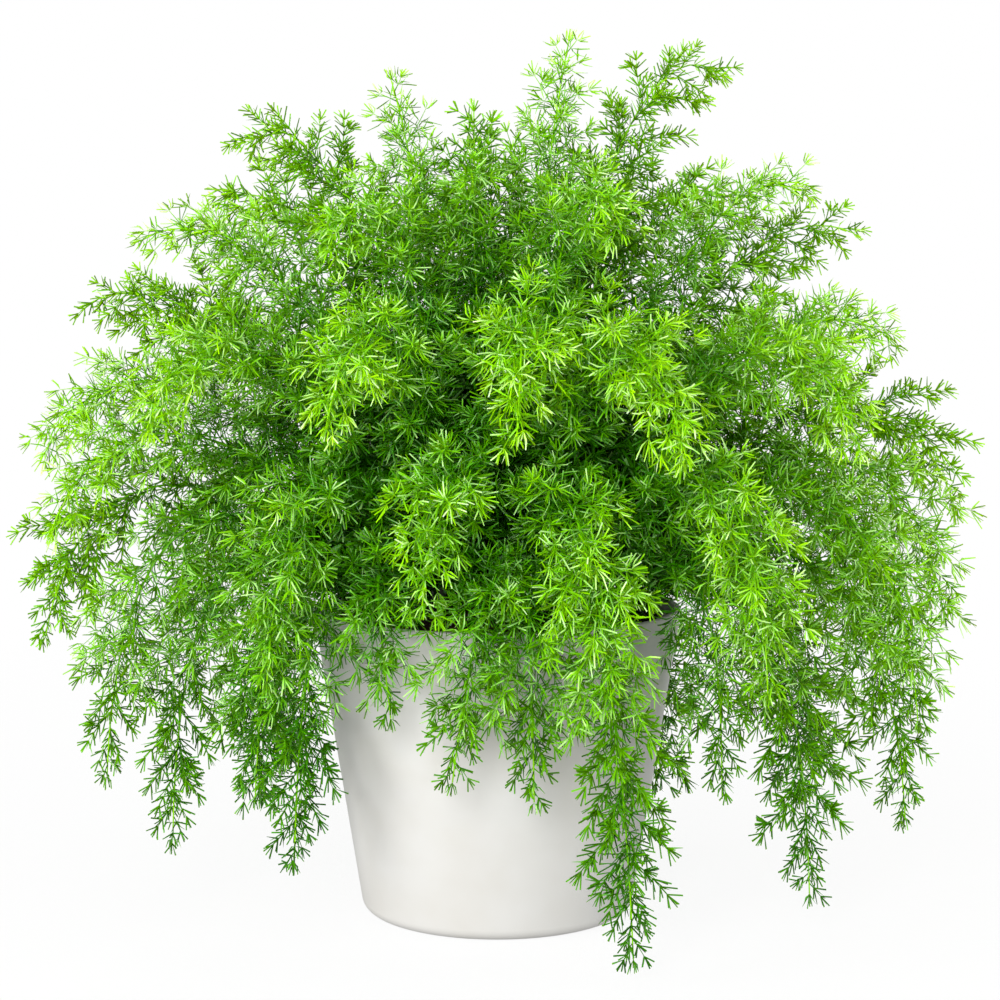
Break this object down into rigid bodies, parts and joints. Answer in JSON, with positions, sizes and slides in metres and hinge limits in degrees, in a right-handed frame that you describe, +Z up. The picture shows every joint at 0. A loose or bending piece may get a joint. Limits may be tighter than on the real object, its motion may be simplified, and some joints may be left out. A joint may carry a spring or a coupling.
{
  "type": "foxtail fern",
  "caption": "Bushy foxtail fern, a fountain of arching needle-leaved fronds over the rim of a plain tapered white pot filled with soil.",
  "frame": {"origin": "centre of the pot's foot, on the surface that it stands on", "axes": "+Z up along the pot's axis, -Y towards the viewer, +X to the viewer's right"},
  "size_m": [0.6679, 0.5634, 0.591],
  "materials": {
    "pot": "satin",
    "soil": "matte",
    "foliage": "satin"
  },
  "bodies": {
    "root": {"pot": "pot", "soil": "soil", "frond_01": "foliage", "frond_02": "foliage", "frond_03": "foliage", "frond_04": "foliage", "frond_05": "foliage", "frond_06": "foliage", "frond_07": "foliage", "frond_08": "foliage", "frond_09": "foliage", "frond_10": "foliage", "frond_11": "foliage", "frond_12": "foliage", "frond_13": "foliage", "frond_14": "foliage", "frond_15": "foliage", "frond_16": "foliage", "frond_17": "foliage", "frond_18": "foliage", "frond_19": "foliage", "frond_20": "foliage", "frond_21": "foliage", "frond_22": "foliage", "frond_23": "foliage", "frond_24": "foliage", "frond_25": "foliage", "frond_26": "foliage", "frond_27": "foliage", "frond_28": "foliage", "frond_29": "foliage", "frond_30": "foliage", "frond_31": "foliage", "frond_32": "foliage", "frond_33": "foliage", "frond_34": "foliage", "frond_35": "foliage", "frond_36": "foliage", "frond_37": "foliage", "frond_38": "foliage", "frond_39": "foliage", "frond_40": "foliage", "frond_41": "foliage", "frond_42": "foliage", "frond_43": "foliage", "frond_44": "foliage", "frond_45": "foliage", "frond_46": "foliage", "frond_47": "foliage", "frond_48": "foliage", "frond_49": "foliage", "frond_50": "foliage", "frond_51": "foliage", "frond_52": "foliage", "frond_53": "foliage", "frond_54": "foliage", "frond_55": "foliage", "frond_56": "foliage", "frond_57": "foliage", "frond_58": "foliage"}
  },
  "joints": []
}
